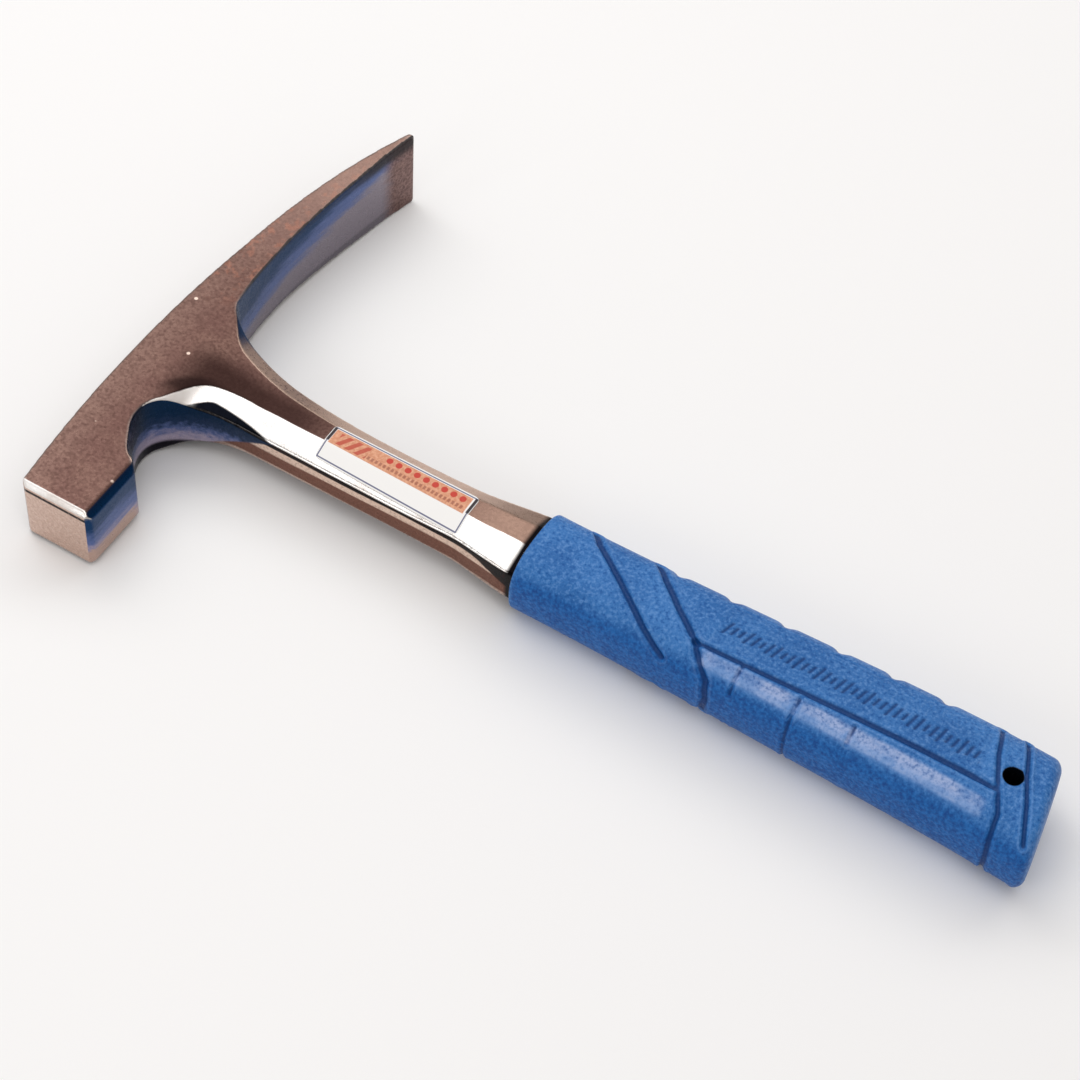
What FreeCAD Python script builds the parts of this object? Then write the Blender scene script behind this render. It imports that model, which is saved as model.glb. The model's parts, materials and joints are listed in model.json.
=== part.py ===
# One-piece brick hammer: steel forging, moulded grip and shank label.
# Millimetres. The layout frame has +X along the handle towards the butt, +Y along the head towards
# the blade and +Z out of the upper cheek, with its zero on the handle's centre line. At the end every
# piece moves together, so that the origin is the middle of the bounding box's underside.
import FreeCAD, Part
import math
import os

V = FreeCAD.Vector

# ---- driving dimensions ------------------------------------------------------------------------
# head along Y, measured from the handle's centre line
poll_reach = 62.6          # to the striking face
blade_reach = 108.8        # to the cutting edge
cheek_half = 11.3          # half the head's thickness
# striking end
poll_width = 23.4          # along X
poll_outer_x = -3.3        # back corner of the striking face
poll_length = 21.5         # straight part behind the face
face_bevel = 1.4           # bevel round the striking face
poll_edge_bevel = 2.1      # bevel along the poll's handle-side edges
shoulder_step = 2.6        # slope where the poll drops into the neck
# back of the head, a smooth curve from the face to the cutting edge
crown_x, crown_y = -6.2, -18.0
eye_x, eye_y = -4.9, 25.0
blade_back_x, blade_back_y = 3.2, 76.5
# neck, between poll and shank
neck_x = 8.5               # handle side of the neck
# blade
blade_waist_x, blade_waist_y = 7.4, 43.0
blade_belly_x, blade_belly_y = 9.6, 72.0
flare_start_y = 45.0       # from here the blade widens towards its edge
edge_width = 29.0          # cutting edge along Z
edge_thickness = 1.6       # cutting edge along X
edge_back_x = 14.4         # back corner of the cutting edge
edge_grind = 11.5          # ground flat behind the edge, along Y
edge_grind_depth = 2.5     # how far that flat leans towards the back
edge_corner = 0.7          # rounding of the cutting edge's two corners
# shank: an eight-sided bar
shank_half_width = 9.2
shank_half_thickness = 8.1
near_bevel_y, far_bevel_y = 7.4, 5.1       # the bevel on the poll side is the wider one
shank_bevel_z = 3.0
near_sweep_x, near_sweep_y = 26.0, 14.3    # elliptical sweep into the neck
far_sweep_x, far_sweep_y = 60.0, 17.8      # elliptical sweep into the blade
cheek_run_out = 30.0       # the cheek thins down to the shank over this length
flare_length = 24.0        # the shank grows again in front of the grip
flare_width = 2.5
flare_thickness = 0.7
flare_bevel = 0.7          # share of that widening that the bevels take
# grip
grip_start_x = 126.0
butt_x = 284.0
mouth_wall_y, mouth_wall_z = 2.2, 2.7      # rubber round the socket at the mouth
waist_x, waist_half_width, waist_half_thickness = 160.0, 14.4, 12.4
middle_x, middle_half_width, middle_half_thickness = 212.0, 16.0, 12.9
palm_inset, palm_half_width, palm_half_thickness = 22.0, 17.4, 13.4     # inset from the butt
butt_half_width, butt_half_thickness = 18.0, 13.1
heel_offset = 1.4          # the butt's middle sits this far towards the poll side
butt_slant = 0.17          # the butt leans: along X per unit of Y
grip_squareness = 2.6      # exponent of the section: 2 is an ellipse, higher is squarer
mouth_lip = 1.0            # rounding at the mouth
butt_round = 3.4           # rounding at the butt
socket_depth = 6.0         # the shank's end sits this deep in the grip
socket_gap = 0.4           # open gap round the shank's end
bond_gap = 0.1             # adhesive film round the tang
# tang, inside the grip
tang_width = 15.0
tang_thickness = 8.0
tang_end_inset = 26.0      # rubber behind the tang, up to the butt
tang_hole_d = 7.0
tang_hole_pitch = 34.0
tang_hole_count = 3
# hang hole through the butt
hang_hole_d = 5.6
hang_hole_inset = 11.8     # from the butt
# finger notches on the blade side of the grip
notch_depth = 0.9
notch_radius = 3.2
notch_pitch = 16.4
notch_count = 6
notch_first_x = 165.5
# label wrapped over the shank's upper flat and one bevel
label_thickness = 0.2
label_length = 48.3
label_gap = 20.7           # bare steel between label and grip
label_far_y, label_near_y = 4.5, -7.6

# ---- places that follow from them ---------------------------------------------------------------
neck_y = -(shank_half_width + near_sweep_y)       # where the neck is thinnest
blade_root_y = shank_half_width + far_sweep_y     # the blade starts here on the handle side
socket_half_width = shank_half_width + flare_width + socket_gap
socket_half_thickness = shank_half_thickness + flare_thickness + socket_gap
mouth_half_width = socket_half_width + mouth_wall_y
mouth_half_thickness = socket_half_thickness + mouth_wall_z
palm_x = butt_x - palm_inset
tang_end_x = butt_x - tang_end_inset
hang_hole_x = butt_x - hang_hole_inset
label_end_x = grip_start_x - label_gap
label_start_x = label_end_x - label_length

# ---- helpers -----------------------------------------------------------------------------------


def spline(points, start=None, end=None):
    """Smooth edge through the points, with the two end tangents where they are given."""
    curve = Part.BSplineCurve()
    points = [V(*p) for p in points]
    if start:
        curve.interpolate(Points=points, InitialTangent=V(*start), FinalTangent=V(*end))
    else:
        curve.interpolate(points)
    return curve.toShape()


def line(a, b):
    return Part.makeLine(V(*a), V(*b))


def prism(edges, direction):
    """Solid swept from the closed outline along the direction."""
    return Part.Face(Part.Wire(edges)).extrude(V(*direction))


def loft(sections):
    """Smooth solid through closed polygons."""
    wires = [Part.makePolygon([V(*p) for p in s + s[:1]]) for s in sections]
    return Part.makeLoft(wires, True, False)


def ease(t):
    """Smooth step from 0 to 1."""
    t = min(max(t, 0.0), 1.0)
    return t * t * (3.0 - 2.0 * t)


def sweep(t):
    """Concave elliptical quadrant: 1 at t = 0, down to 0 at t = 1."""
    u = 1.0 - min(max(t, 0.0), 1.0)
    return 1.0 - math.sqrt(1.0 - u * u)


# ---- forging: head -----------------------------------------------------------------------------


def head_bar():
    """Poll, neck and blade as one curved bar: its outline swept along Z, then widened at the blade."""
    low = -edge_width
    face_y = -poll_reach
    inner_x = poll_outer_x + poll_width
    shoulder_y = face_y + poll_length
    shoulder = (inner_x - shoulder_step, shoulder_y + shoulder_step, low)
    notch = (neck_x + 0.3 * (inner_x - neck_x), 0.5 * (shoulder[1] + neck_y) - 1.8, low)
    tip_inner_x = edge_back_x + edge_thickness
    grind = (tip_inner_x - edge_grind_depth, blade_reach - edge_grind, low)
    outline = [
        line((poll_outer_x, face_y, low), (inner_x, face_y, low)),
        line((inner_x, face_y, low), (inner_x, shoulder_y, low)),
        line((inner_x, shoulder_y, low), shoulder),
        spline([shoulder, notch, (neck_x, neck_y, low)], (-1, 0.3, 0), (0, 1, 0)),
        line((neck_x, neck_y, low), (neck_x, blade_root_y, low)),
        spline([(neck_x, blade_root_y, low), (blade_waist_x, blade_waist_y, low),
                (blade_belly_x, blade_belly_y, low), grind]),
        line(grind, (tip_inner_x, blade_reach, low)),
        line((tip_inner_x, blade_reach, low), (edge_back_x, blade_reach, low)),
        spline([(edge_back_x, blade_reach, low), (blade_back_x, blade_back_y, low), (eye_x, eye_y, low),
                (crown_x, crown_y, low), (poll_outer_x, face_y, low)]),
    ]
    bar = prism(outline, (0, 0, 2 * edge_width))
    return bar.common(thickness_profile())


def thickness_profile():
    """Side view of the head: even at the poll and neck, widening to the cutting edge."""
    left = crown_x - 10
    start, end, half = -poll_reach - 5, blade_reach, edge_width / 2
    corner = edge_corner
    upper = [line((left, start, cheek_half), (left, flare_start_y, cheek_half)),
             line((left, flare_start_y, cheek_half), (left, end - corner, half)),
             line((left, end - corner, half), (left, end, half - corner))]
    lower = [line((left, end, half - corner), (left, end, corner - half)),
             line((left, end, corner - half), (left, end - corner, -half)),
             line((left, end - corner, -half), (left, flare_start_y, -cheek_half)),
             line((left, flare_start_y, -cheek_half), (left, start, -cheek_half)),
             line((left, start, -cheek_half), (left, start, cheek_half))]
    return prism(upper + lower, (60, 0, 0))


def bevel_poll(head):
    """Bevel round the striking face and along the poll's two handle-side edges."""
    face_y = -poll_reach
    inner_x = poll_outer_x + poll_width
    rim = [e for e in head.Edges if all(abs(v.Y - face_y) < 1e-4 for v in e.Vertexes)]
    head = head.makeChamfer(face_bevel, rim)
    sides = [e for e in head.Edges if all(abs(v.X - inner_x) < 1e-4 for v in e.Vertexes)
             and abs(abs(e.CenterOfMass.z) - cheek_half) < 1e-4]
    return head.makeChamfer(poll_edge_bevel, sides)


# ---- forging: shank ----------------------------------------------------------------------------


def near_width(x):
    """Handle centre line to the shank's wall on the poll side."""
    return shank_half_width + near_sweep_y * sweep((x - neck_x) / near_sweep_x) + mouth_growth(x, flare_width)


def far_width(x):
    """Handle centre line to the shank's wall on the blade side."""
    return shank_half_width + far_sweep_y * sweep((x - neck_x) / far_sweep_x) + mouth_growth(x, flare_width)


def half_height(x):
    """Half thickness of the shank: the cheek's at the head, thinning down to the bar's."""
    run = 1.0 - ease((x - neck_x) / cheek_run_out)
    return shank_half_thickness + (cheek_half - shank_half_thickness) * run + mouth_growth(x, flare_thickness)


def mouth_growth(x, amount):
    return amount * ease((x - grip_start_x + flare_length) / flare_length)


def bevel_width(side, x):
    """Extent along Y of the bevel on one side of the shank."""
    plain = near_bevel_y if side < 0 else far_bevel_y
    return plain + mouth_growth(x, flare_bevel * flare_width)


def sweep_arc(reach_x, reach_y, sign, low):
    """Elliptical quadrant that leads one wall of the shank into the head."""
    centre = V(neck_x + reach_x, sign * (shank_half_width + reach_y), low)
    ellipse = Part.Ellipse(centre, reach_x, reach_y)
    quarter = math.pi / 2
    first = quarter if sign < 0 else 2 * quarter
    return Part.ArcOfEllipse(ellipse, first, first + quarter).toShape()


def wall_flare(sign, low):
    """Wall of the shank from its plain part to its end inside the grip."""
    plain_x = grip_start_x - flare_length
    steps = [plain_x + flare_length * k / 4 for k in range(5)]
    points = [(x, sign * (shank_half_width + mouth_growth(x, flare_width)), low) for x in steps]
    return spline(points, (1, 0, 0), (1, 0, 0))


def shank_plan():
    """The shank seen along Z, with both sweeps into the head, through the head's full thickness."""
    low = -cheek_half
    inside_x = crown_x + 5.0
    end_x = grip_start_x + socket_depth
    plain_x = grip_start_x - flare_length
    near, far = -shank_half_width, shank_half_width
    near_root, far_root = near - near_sweep_y, far + far_sweep_y
    near_end, far_end = near - flare_width, far + flare_width
    outline = [
        line((inside_x, near_root, low), (neck_x, near_root, low)),
        sweep_arc(near_sweep_x, near_sweep_y, -1, low),
        line((neck_x + near_sweep_x, near, low), (plain_x, near, low)),
        wall_flare(-1, low),
        line((grip_start_x, near_end, low), (end_x, near_end, low)),
        line((end_x, near_end, low), (end_x, far_end, low)),
        line((end_x, far_end, low), (grip_start_x, far_end, low)),
        wall_flare(1, low),
        line((plain_x, far, low), (neck_x + far_sweep_x, far, low)),
        sweep_arc(far_sweep_x, far_sweep_y, 1, low),
        line((neck_x, far_root, low), (inside_x, far_root, low)),
        line((inside_x, far_root, low), (inside_x, near_root, low)),
    ]
    return prism(Part.__sortEdges__(outline), (0, 0, 2 * cheek_half))


def shank_side():
    """The shank seen along Y: full cheek thickness at the head, run out to the bar, grown at the grip."""
    wide = -60.0
    inside_x = crown_x + 5.0
    run_end_x = neck_x + cheek_run_out
    plain_x = grip_start_x - flare_length
    end_x = grip_start_x + socket_depth

    def edge(sign):
        run = [(neck_x + cheek_run_out * k / 6, wide, sign * half_height(neck_x + cheek_run_out * k / 6))
               for k in range(7)]
        grow = [(plain_x + flare_length * k / 4, wide, sign * half_height(plain_x + flare_length * k / 4))
                for k in range(5)]
        bar = sign * shank_half_thickness
        last = sign * (shank_half_thickness + flare_thickness)
        return [
            line((inside_x, wide, sign * cheek_half), (neck_x, wide, sign * cheek_half)),
            spline(run, (1, 0, 0), (1, 0, 0)),
            line((run_end_x, wide, bar), (plain_x, wide, bar)),
            spline(grow, (1, 0, 0), (1, 0, 0)),
            line((grip_start_x, wide, last), (end_x, wide, last)),
        ]

    last = shank_half_thickness + flare_thickness
    ends = [line((end_x, wide, -last), (end_x, wide, last)),
            line((inside_x, wide, -cheek_half), (inside_x, wide, cheek_half))]
    return prism(Part.__sortEdges__(edge(1) + edge(-1) + ends), (0, 120, 0))


def bevel_cutter(side, upper):
    """Wedge that takes one long corner off the shank; it fades in along the sweep into the head."""
    width = near_width if side < 0 else far_width
    sections = []
    for x in bevel_stations():
        fade = 0.06 + 0.94 * ease((x - neck_x) / 12.0)
        by, bz = bevel_width(side, x) * fade, shank_bevel_z * fade
        y, z, out = width(x), half_height(x), 8.0
        dy, dz = out * by / bz, out * bz / by
        inner = (x, side * (y - by - dy), upper * (z + out))
        outer = (x, side * (y + out), upper * (z - bz - dz))
        far = (x, side * (y + out), upper * (z + out))
        sections.append([inner, outer, far])
    return loft(sections)


def bevel_stations():
    """Close together along the sweeps, wider apart along the plain bar."""
    sweep_part = [neck_x + 0.6 + 44.0 * (k / 8) ** 1.6 for k in range(9)]
    plain_x = grip_start_x - flare_length
    tail = [plain_x, plain_x + flare_length / 2, grip_start_x, grip_start_x + socket_depth + 2]
    return sweep_part + tail


def shank():
    bar = shank_plan().common(shank_side())
    for side in (-1, 1):
        for upper in (-1, 1):
            bar = bar.cut(bevel_cutter(side, upper))
    return bar


def tang():
    """Flat tongue inside the grip, with a row of holes that key the moulding."""
    start_x = grip_start_x + socket_depth - 1.0
    box = Part.makeBox(tang_end_x - start_x, tang_width, tang_thickness,
                       V(start_x, -tang_width / 2, -tang_thickness / 2))
    for x in tang_hole_places():
        box = box.cut(Part.makeCylinder(tang_hole_d / 2, 2 * tang_thickness, V(x, 0, -tang_thickness)))
    return box


def tang_hole_places():
    last_x = tang_end_x - tang_width
    return [last_x - k * tang_hole_pitch for k in range(tang_hole_count)]


def forged_hammer():
    body = bevel_poll(head_bar()).fuse([shank(), tang()])
    return body.removeSplitter()


# ---- grip --------------------------------------------------------------------------------------


def grip_section(x, half_width, half_thickness, offset=0.0, slant=0.0):
    """Closed section of the grip: a superellipse across the handle, shifted and leaning if asked."""
    points = []
    for k in range(24):
        a = 2 * math.pi * k / 24
        c, s = math.cos(a), math.sin(a)
        y = half_width * math.copysign(abs(c) ** (2 / grip_squareness), c) - offset
        z = half_thickness * math.copysign(abs(s) ** (2 / grip_squareness), s)
        points.append(V(x - slant * y, y, z))
    curve = Part.BSplineCurve()
    curve.interpolate(Points=points, PeriodicFlag=True)
    return Part.Wire([curve.toShape()])


def grip_outside():
    stations = [
        (grip_start_x, mouth_half_width - mouth_lip, mouth_half_thickness - mouth_lip),
        (grip_start_x + mouth_lip, mouth_half_width, mouth_half_thickness),
        (waist_x, waist_half_width, waist_half_thickness),
        (middle_x, middle_half_width, middle_half_thickness),
        (palm_x, palm_half_width, palm_half_thickness, 0.3 * heel_offset, 0.6 * butt_slant),
        (butt_x - butt_round, butt_half_width, butt_half_thickness, heel_offset, butt_slant),
        (butt_x - 0.3 * butt_round, butt_half_width - 0.3 * butt_round, butt_half_thickness - 0.3 * butt_round,
         heel_offset, butt_slant),
        (butt_x, butt_half_width - butt_round, butt_half_thickness - butt_round, heel_offset, butt_slant),
    ]
    wires = [grip_section(*s) for s in stations]
    body = Part.makeLoft(wires[1:-2], True, False)
    lip = Part.makeLoft(wires[:2], True, True)
    heel = Part.makeLoft(wires[-3:], True, True)
    return body.fuse([lip, heel])


def grip_width_at(x):
    """Half width of the grip between waist and palm."""
    t = (x - waist_x) / (palm_x - waist_x)
    return waist_half_width + (palm_half_width - waist_half_width) * t


def handle_grip():
    body = grip_outside()
    # socket for the shank's end: the same eight-sided bar, larger by the gap
    wide, thick, bz = socket_half_width, socket_half_thickness, shank_bevel_z
    far_fold = wide - bevel_width(1, grip_start_x)
    near_fold = bevel_width(-1, grip_start_x) - wide
    corners = [(wide, thick - bz), (far_fold, thick), (near_fold, thick), (-wide, thick - bz),
               (-wide, bz - thick), (near_fold, -thick), (far_fold, -thick), (wide, bz - thick)]
    mouth = Part.makePolygon([V(grip_start_x - 1, y, z) for y, z in corners + corners[:1]])
    body = body.cut(Part.Face(mouth).extrude(V(socket_depth + socket_gap + 1, 0, 0)))
    pocket_width = tang_width + 2 * bond_gap
    pocket_thickness = tang_thickness + 2 * bond_gap
    body = body.cut(Part.makeBox(tang_end_x + bond_gap - grip_start_x, pocket_width, pocket_thickness,
                                 V(grip_start_x, -pocket_width / 2, -pocket_thickness / 2)))
    # rubber keys that the moulding leaves in the tang's holes
    for x in tang_hole_places():
        key = Part.makeCylinder(tang_hole_d / 2 - bond_gap, pocket_thickness + 1, V(x, 0, -pocket_thickness / 2 - 0.5))
        body = body.fuse(key)
    tall = 4 * palm_half_thickness
    body = body.cut(Part.makeCylinder(hang_hole_d / 2, tall, V(hang_hole_x, 0, -tall / 2)))
    for k in range(notch_count):
        x = notch_first_x + k * notch_pitch
        y = grip_width_at(x) + notch_radius - notch_depth
        body = body.cut(Part.makeCylinder(notch_radius, tall, V(x, y, -tall / 2)))
    return body.removeSplitter()


# ---- label -------------------------------------------------------------------------------------


def shank_label():
    """Thin sheet on the shank's upper flat and the bevel next to it, cut to the steel under it."""
    top = shank_half_thickness
    edge_y = near_bevel_y - shank_half_width
    slope = shank_bevel_z / near_bevel_y
    length = math.hypot(1.0, slope)

    def profile(height):
        """Far edge, fold and near edge of a surface lying this far above the steel."""
        lean_y, lean_z = -height * slope / length, height / length
        fold_y = edge_y - height * (length - 1.0) / slope
        near_z = top - slope * (edge_y - label_near_y)
        return [(label_far_y, top + height), (fold_y, top + height), (label_near_y + lean_y, near_z + lean_z)]

    outline = profile(label_thickness) + profile(-1.0)[::-1]
    wire = Part.makePolygon([V(label_start_x, y, z) for y, z in outline + outline[:1]])
    sheet = Part.Face(wire).extrude(V(label_end_x - label_start_x, 0, 0))
    return sheet.cut(shank())


# ---- write the pieces --------------------------------------------------------------------------

pieces = {
    "forged_hammer": forged_hammer(),
    "handle_grip": handle_grip(),
    "shank_label": shank_label(),
}
box = Part.makeCompound(list(pieces.values())).optimalBoundingBox()
to_origin = V(-box.Center.x, -box.Center.y, -box.ZMin)
os.makedirs("parts", exist_ok=True)
for name, shape in pieces.items():
    shape.translate(to_origin)
    solid = shape.Solids[0] if len(shape.Solids) == 1 else shape
    solid.exportStep("parts/" + name + ".step")
    print(name, "solids", len(shape.Solids), "valid", shape.isValid(), "volume", round(shape.Volume))
print("origin moved by", to_origin)
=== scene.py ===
# %% [markdown]
# # A brick hammer, looked at closely
# A bricklayer's hammer is one steel forging with a square striking face, a long chisel blade and a shank,
# a blue rubber grip moulded over its tang, and a small maker's label on the shank. The solid design is
# loaded first as a fixed frame. Every visible piece below is worked out in that frame, in metres.

# %% Load the frame
import json
import math
import bpy
import bmesh
import numpy as np
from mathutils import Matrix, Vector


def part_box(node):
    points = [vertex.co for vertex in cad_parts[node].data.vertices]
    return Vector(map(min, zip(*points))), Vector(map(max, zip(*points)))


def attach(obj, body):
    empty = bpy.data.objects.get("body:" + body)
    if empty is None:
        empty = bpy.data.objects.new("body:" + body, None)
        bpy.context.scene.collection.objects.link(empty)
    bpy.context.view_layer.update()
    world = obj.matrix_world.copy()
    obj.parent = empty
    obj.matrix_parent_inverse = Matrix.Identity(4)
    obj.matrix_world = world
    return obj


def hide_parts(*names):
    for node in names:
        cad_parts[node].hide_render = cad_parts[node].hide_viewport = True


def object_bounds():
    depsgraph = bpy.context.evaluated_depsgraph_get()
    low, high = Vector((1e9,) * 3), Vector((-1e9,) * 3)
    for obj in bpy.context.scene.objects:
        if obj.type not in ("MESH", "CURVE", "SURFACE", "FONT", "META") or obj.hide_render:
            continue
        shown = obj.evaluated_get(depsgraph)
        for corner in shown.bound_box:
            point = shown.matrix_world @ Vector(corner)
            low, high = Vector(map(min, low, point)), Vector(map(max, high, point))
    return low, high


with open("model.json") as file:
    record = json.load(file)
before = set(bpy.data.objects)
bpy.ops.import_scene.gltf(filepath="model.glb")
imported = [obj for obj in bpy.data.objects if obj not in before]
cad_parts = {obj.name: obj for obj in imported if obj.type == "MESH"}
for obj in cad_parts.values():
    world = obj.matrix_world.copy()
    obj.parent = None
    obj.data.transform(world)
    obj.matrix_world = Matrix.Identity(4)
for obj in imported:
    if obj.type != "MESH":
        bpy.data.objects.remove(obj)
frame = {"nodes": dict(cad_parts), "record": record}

cad_box = [list(map(float, corner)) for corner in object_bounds()]
nodes = frame["nodes"]
MM = 0.001
print("CAD box, metres:", cad_box)

# %% [markdown]
# The design was drawn in millimetres with +X along the handle, +Y along the head towards the blade and
# its zero on the handle's centre line. The grip's mouth lies 126 mm along X and the hang hole's axis
# lies on the centre line, so those two give the place of that zero in the frame.

# %% Find the drawing's zero
MOUTH_X, BUTT_X = 126.0, 284.0
mounts = {m["name"]: m for m in frame["record"]["mounts"]}
hole_centre = np.array(mounts["hang_hole"]["pos_m"])
ZERO = np.array([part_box("handle_grip")[0].x - MOUTH_X * MM, hole_centre[1], hole_centre[2]])


def to_frame(points_mm):
    """Drawing millimetres to frame metres: scale by a thousandth and add the drawing's zero."""
    return np.asarray(points_mm, float) * MM + ZERO


print("drawing's zero, metres:", ZERO.round(5))

# %% [markdown]
# ## Shared mesh tools
# New surfaces are grids: rows along a piece and columns round it. The whole array of points is worked
# out at once, and the faces join each point with its neighbours. A closed grid wraps round in its
# columns, and its first and last rows shrink to a single point each, the poles.

# %% Grids to meshes


def mesh_from(name, points, faces):
    """A mesh object from points in frame metres and faces as rows of indices."""
    mesh = bpy.data.meshes.new(name)
    mesh.from_pydata(points.tolist(), [], [f.tolist() for f in faces])
    mesh.validate()
    mesh.polygons.foreach_set("use_smooth", np.ones(len(mesh.polygons), bool))
    piece = bpy.data.objects.new(name, mesh)
    bpy.context.scene.collection.objects.link(piece)
    return piece


def tube_faces(rows, columns):
    """Quads of a grid that wraps in its columns, then triangle fans to a pole before and after it."""
    r = np.arange(rows - 1)[:, None] * columns
    c = np.arange(columns)[None, :]
    n = (c + 1) % columns
    quads = np.stack([r + c, r + columns + c, r + columns + n, r + n], -1).reshape(-1, 4)
    ring = np.arange(columns)
    nxt = (ring + 1) % columns
    first, last = rows * columns, rows * columns + 1
    fan_a = np.stack([np.full(columns, first), ring, nxt], -1)
    base = (rows - 1) * columns
    fan_b = np.stack([base + nxt, base + ring, np.full(columns, last)], -1)
    return list(quads) + list(fan_a) + list(fan_b)


# %% [markdown]
# A few small tools are used all through: a soft step between two values, a place to keep a number per
# point, the points of a mesh as one array, and a way to make modifiers final.

# %% Steps, stored numbers and final meshes


def smoothstep(x, lo, hi):
    """0 below lo, 1 above hi, and the cubic 3t^2 - 2t^3 between them."""
    t = np.clip((x - lo) / (hi - lo), 0, 1)
    return t * t * (3 - 2 * t)


def store(piece, name, values):
    """Keep one number per vertex under a name, for the material to read."""
    layer = piece.data.attributes.new(name, "FLOAT", "POINT")
    layer.data.foreach_set("value", np.asarray(values, np.float32))


def vertex_places(mesh):
    """All vertex places as an array, three numbers each."""
    co = np.zeros(len(mesh.vertices) * 3)
    mesh.vertices.foreach_get("co", co)
    return co.reshape(-1, 3)


def work_in_modifiers(piece):
    """Give the piece the mesh that its modifiers make, and drop the modifiers."""
    depsgraph = bpy.context.evaluated_depsgraph_get()
    result = bpy.data.meshes.new_from_object(piece.evaluated_get(depsgraph))
    piece.modifiers.clear()
    piece.data = result


# %% [markdown]
# ## The forging
# On the real hammer head, shank and tang are one drop-forged bar, ground on its cheeks. The drawing has
# its exact planes with knife-sharp edges, and no real forging has those. A bevel on every edge could
# soften them, but it breaks where thin faces meet. So a merged copy is turned into an even skin of small
# squares and each point is eased towards its neighbours, which rounds all edges by the same small radius.

# %% Even skin for the forging
SKIN_SQUARE = 0.36 * MM
SKIN_TRIANGLES = 190000


def even_skin(node, square):
    """Merged copy of a CAD node, remeshed to squares of this size."""
    mesh = bpy.data.meshes.new("merged")
    bm = bmesh.new()
    bm.from_mesh(nodes[node].data)
    bmesh.ops.remove_doubles(bm, verts=bm.verts, dist=1e-6)
    bm.to_mesh(mesh)
    bm.free()
    piece = bpy.data.objects.new("hammer_forging", mesh)
    bpy.context.scene.collection.objects.link(piece)
    remesh = piece.modifiers.new("squares", "REMESH")
    remesh.mode = "VOXEL"
    remesh.voxel_size = square
    remesh.adaptivity = 0
    work_in_modifiers(piece)
    return piece


forging = even_skin("forged_hammer", SKIN_SQUARE)
print("forging skin:", len(forging.data.vertices), "points")

# %% [markdown]
# Easing is an average: each point moves half way to the mean of its neighbours, a few times over. On a flat
# nothing changes, and a sharp edge turns into a small round like the one a worn forging die leaves.

# %% Easing
HALF_WAY = 0.5


def neighbour_mean(points, edges, counts):
    """Mean of each point's neighbours, over both ends of every edge."""
    total = np.zeros_like(points)
    for axis in range(points.shape[1]):
        total[:, axis] = (np.bincount(edges[:, 0], points[edges[:, 1], axis], len(points))
                          + np.bincount(edges[:, 1], points[edges[:, 0], axis], len(points)))
    return total / counts[:, None]


def ease(points, edges, rounds):
    """Each round: point + half of (mean of its neighbours - point)."""
    counts = np.bincount(edges.ravel(), minlength=len(points)).clip(1)
    for _ in range(rounds):
        points = points + HALF_WAY * (neighbour_mean(points, edges, counts) - points)
    return points


def edge_pairs(mesh):
    """The two point numbers of every edge."""
    pairs = np.zeros(len(mesh.edges) * 2, np.int32)
    mesh.edges.foreach_get("vertices", pairs)
    return pairs.reshape(-1, 2)


# %% [markdown]
# Five rounds are enough for an edge's small round. Easing may not push a point out of the design's box, so
# the result is clipped to it.

# %% Ease the edges
EASE_ROUNDS = 5
places = vertex_places(forging.data)
pairs = edge_pairs(forging.data)
eased = ease(places, pairs, EASE_ROUNDS)
eased = eased.clip(np.array(cad_box[0]), np.array(cad_box[1]))
forging.data.vertices.foreach_set("co", eased.ravel())
forging.data.update()
print("largest move, mm:", round(float(np.abs(eased - places).max() / MM), 3))

# %% [markdown]
# Handling polishes ridges and leaves grime in hollows, and the steel's finish also paints a highlight on
# ridges and shade in hollows. How far a point stands out from the broad shape round it tells which is which:
# the point minus its widely eased place, measured along its normal.

# %% Ridges and hollows
BROAD_ROUNDS = 30
normals = np.zeros(len(eased) * 3)
forging.data.vertex_normals.foreach_get("vector", normals)
normals = normals.reshape(-1, 3)
stand_out = ((eased - ease(eased, pairs, BROAD_ROUNDS)) * normals).sum(1) / MM
store(forging, "stand_out", stand_out)
print("stands out by, mm:", np.percentile(stand_out, [1, 50, 99]).round(3))

# %% [markdown]
# That skin is far denser than its flats need. Thinning it by collapsing the least useful edges keeps the
# small triangles along the rounded edges and leaves large ones on the flats.

# %% Thin the skin
thin = forging.modifiers.new("thin", "DECIMATE")
thin.ratio = min(1.0, SKIN_TRIANGLES / (2 * len(forging.data.polygons)))
work_in_modifiers(forging)
forging.data.polygons.foreach_set("use_smooth", np.ones(len(forging.data.polygons), bool))
print("forging now:", len(forging.data.polygons), "faces", [a.name for a in forging.data.attributes])

# %% [markdown]
# ## The grip
# The real grip is soft vinyl moulded over the tang: a squarish oval that swells towards the butt, with
# two slanted grooves, a panel line, finger notches and a collar cut by two grooves. It could be sculpted
# on a subdivided bar. Here it is one function of the place along the handle and the angle round it, so
# each groove is placed by its own numbers and the skin stays one closed sheet.

# %% Sections along the grip
SQUARENESS = 2.6
LIP = 1.0
BUTT_ROUND = 3.4
SOCKET_DEPTH = 6.4
TANG_END_X = 258.1
# place along X, half width, half thickness
stations = np.array([[127.0, 14.3, 11.9], [160.0, 14.4, 12.4], [212.0, 16.0, 12.9],
                     [262.0, 17.4, 13.4], [280.6, 18.0, 13.1]])
MIDDLE_OF_GRIP, CURVE_UNIT = 200.0, 100


def station_curve(column):
    """Polynomial through the five stations of one column, as smooth as a moulding tool's spline."""
    return np.polyfit((stations[:, 0] - MIDDLE_OF_GRIP) / CURVE_UNIT, stations[:, column], 4)


width_curve, thickness_curve = station_curve(1), station_curve(2)


def at(curve, x):
    """Value of such a curve at a place along X."""
    return np.polyval(curve, (x - MIDDLE_OF_GRIP) / CURVE_UNIT)


# %% [markdown]
# Under the palm the section drifts a little towards the poll side and leans, both growing to the butt.

# %% Shift and lean


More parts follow.
